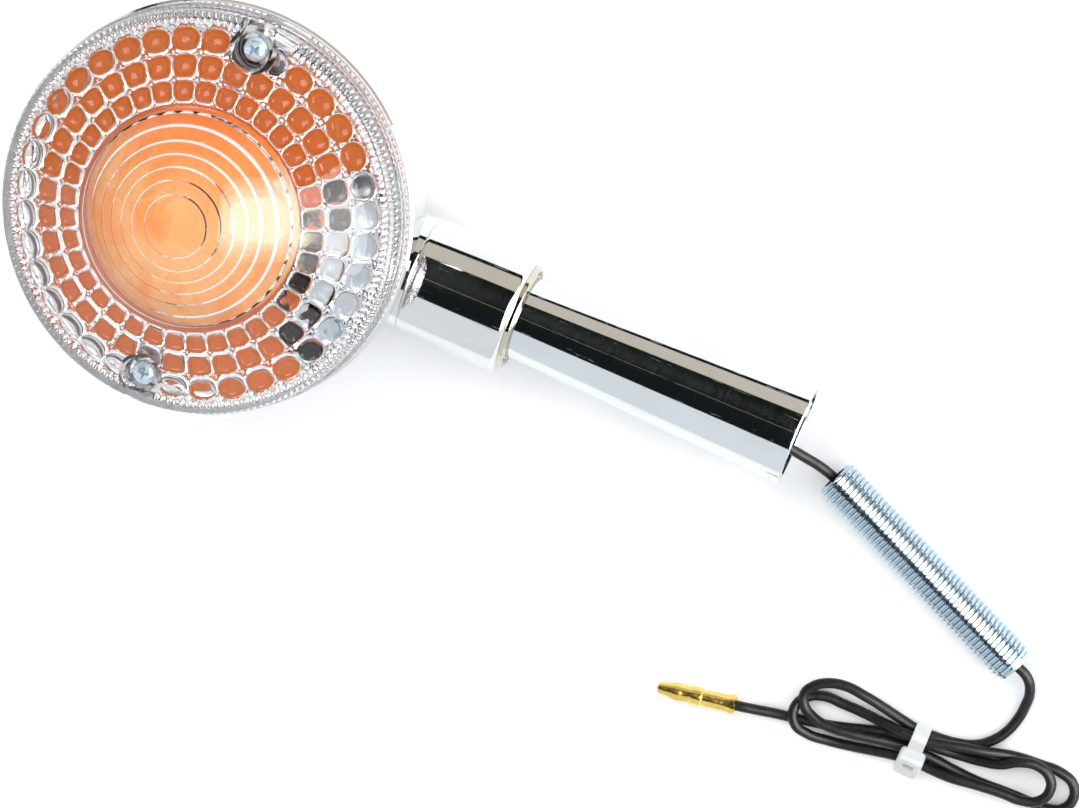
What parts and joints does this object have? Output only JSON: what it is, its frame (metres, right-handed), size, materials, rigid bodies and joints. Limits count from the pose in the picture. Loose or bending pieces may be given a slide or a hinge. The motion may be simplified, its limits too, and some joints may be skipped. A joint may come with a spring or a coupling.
{
  "type": "turn signal indicator",
  "caption": "Round turn signal lamp: chrome housing, clear beaded lens over an amber inner lens, bayonet bulb, tapered chrome stem, loose hollow threaded stud, tied black lead with bullet terminal.",
  "frame": {"origin": "on the lens axis, at the flat back face of the housing, which is also the surface that the lamp and its lead lie on", "axes": "+Z out through the front of the lens, +X along the stem away from the lamp, +Y towards the upper lens screw"},
  "size_m": [0.2748, 0.1209, 0.0594],
  "materials": {
    "chrome_body": "polished chrome with fine scratches",
    "chrome_stem": "polished chrome with fine scratches",
    "chrome_ring": "polished chrome, slightly dull in the groove",
    "zinc": "bright zinc plate",
    "zinc_stud": "bright zinc plate, bluish",
    "clear_lens": "clear moulded acrylic",
    "amber_lens": "amber moulded acrylic",
    "reflector_bright": "bright plated",
    "rubber_grey": "soft foam rubber",
    "rubber_black": "matt",
    "pvc_black": "satin PVC sleeve",
    "socket_metal": "plated brass",
    "fibre_board": "pressed fibre",
    "brass_contact": "bright",
    "brass_base": "satin",
    "brass_terminal": "bright pressed brass",
    "spring_steel": "bright wire",
    "solder": "solder",
    "filament_metal": "drawn wire",
    "bulb_clear": "clear glass",
    "nylon": "natural translucent nylon"
  },
  "bodies": {
    "lamp": {"housing": "chrome_body", "stem_tube": "chrome_stem", "shoulder_ring": "chrome_ring", "stem_washer": "zinc", "stem_nut": "zinc", "thread_insert": "zinc", "lead_grommet": "rubber_black", "lens_seal": "rubber_grey", "inner_lens": "amber_lens", "reflector": "reflector_bright", "socket_shell": "socket_metal", "socket_bracket": "zinc", "bracket_screws": "zinc", "contact_spring": "spring_steel", "lead_inner": "pvc_black", "lead_free": "pvc_black", "lead_hank": "pvc_black", "lead_tail": "pvc_black", "bullet_terminal": "brass_terminal", "cable_tie": "nylon"},
    "lens": {"outer_lens": "clear_lens"},
    "screw_upper": {"lens_screw_upper": "zinc"},
    "screw_lower": {"lens_screw_lower": "zinc"},
    "plunger": {"contact_plunger": "fibre_board", "contact_rivet": "brass_contact"},
    "bulb": {"bulb_base": "brass_base", "bulb_glass": "bulb_clear", "bulb_filament": "filament_metal", "bulb_contact": "solder"},
    "stud": {"mounting_stud": "zinc_stud"}
  },
  "joints": [
    {"name": "lens_lift", "type": "slide", "parent": "lamp", "child": "lens", "axis": [0, 0, 1], "range_m": [0, 0.03]},
    {"name": "screw_upper_turn", "type": "hinge", "parent": "lens", "child": "screw_upper", "pos_m": [0, 0.0388, 0.04], "axis": [0, 0, 1], "continuous": true},
    {"name": "screw_lower_turn", "type": "hinge", "parent": "lens", "child": "screw_lower", "pos_m": [0, -0.0388, 0.04], "axis": [0, 0, 1], "continuous": true},
    {"name": "bulb_push", "type": "slide", "parent": "lamp", "child": "plunger", "axis": [1, 0, 0], "range_m": [0, 0.0015], "stiffness_N_per_m": 2000, "springref_m": -0.0015, "deforming": ["contact_spring"]},
    {"name": "bulb_turn", "type": "hinge", "parent": "plunger", "child": "bulb", "pos_m": [0.021, 0, 0.0205], "axis": [1, 0, 0], "range_deg": [0, 18]},
    {"name": "stud_slide", "type": "slide", "parent": "lamp", "child": "stud", "axis": [0.91, -0.4147, 0], "range_m": [-0.003, 0.003]}
  ]
}
